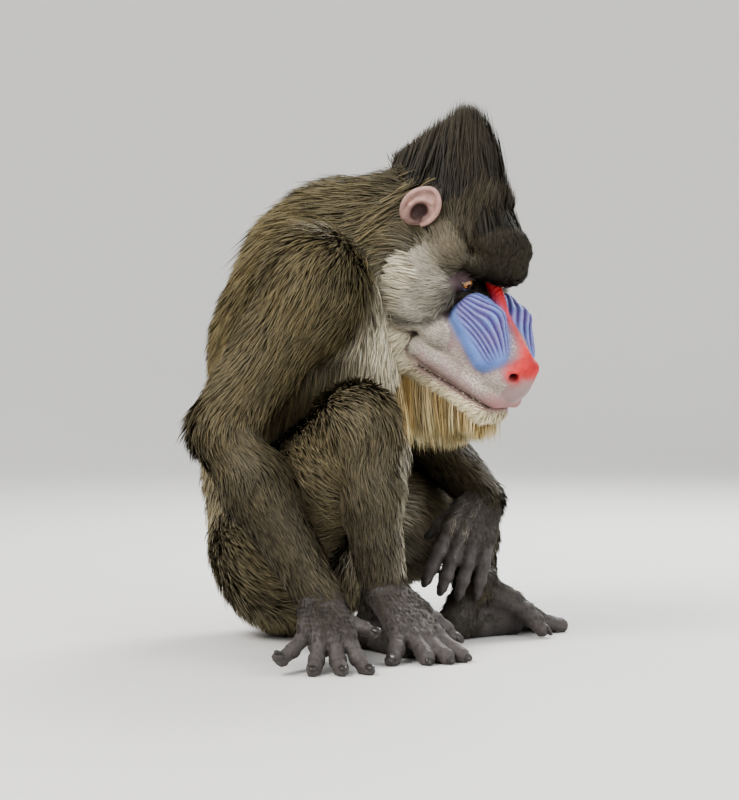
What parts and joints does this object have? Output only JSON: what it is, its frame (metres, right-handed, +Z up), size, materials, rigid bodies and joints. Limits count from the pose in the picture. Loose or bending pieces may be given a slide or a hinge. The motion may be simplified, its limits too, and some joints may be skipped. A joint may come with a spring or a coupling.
{
  "type": "seated male mandrill",
  "caption": "Life-size seated adult male mandrill with a crest, ridged cheeks and a beard, one hand on the floor and the other hanging over its knee; a still model.",
  "frame": {"origin": "on the floor, under the middle of the animal's bounding box", "axes": "+Z up; the animal faces -Y, its right side towards -X"},
  "size_m": [0.6072, 0.4664, 0.6231],
  "materials": {
    "dark_coat": "dense agouti coat, olive brown over black, lying along the body and limbs",
    "mane_coat": "long dark hair of the crest, nape and shoulders in flat overlapping locks",
    "cheek_coat": "pale long hair of the cheeks, swept back",
    "beard_coat": "orange yellow hair of the beard in hanging locks",
    "belly_coat": "thin pale coat of the belly",
    "face_skin": "bare skin: blue ridged cheeks beside a scarlet nose strip, short dark coat above",
    "jaw_skin": "pale short haired skin of the lower jaw and lip",
    "ear_skin": "bare pinkish skin of the ear",
    "dark_skin": "bare black brown skin of the hands and feet, with short hair above",
    "eye": "wet brown eye"
  },
  "bodies": {
    "root": {"beard": "beard_coat", "belly": "belly_coat", "chest": "dark_coat", "crest": "mane_coat", "ear_left": "ear_skin", "ear_right": "ear_skin", "eye_left": "eye", "eye_right": "eye", "foot_left": "dark_skin", "foot_right": "dark_skin", "forearm_left": "dark_coat", "forearm_right": "dark_coat", "hand_left": "dark_skin", "hand_right": "dark_skin", "head": "face_skin", "jaw": "jaw_skin", "neck": "mane_coat", "ruff_left": "cheek_coat", "ruff_right": "cheek_coat", "rump": "dark_coat", "shin_left": "dark_coat", "shin_right": "dark_coat", "tail": "dark_coat", "thigh_left": "dark_coat", "thigh_right": "dark_coat", "upper_arm_left": "dark_coat", "upper_arm_right": "dark_coat"}
  },
  "joints": []
}
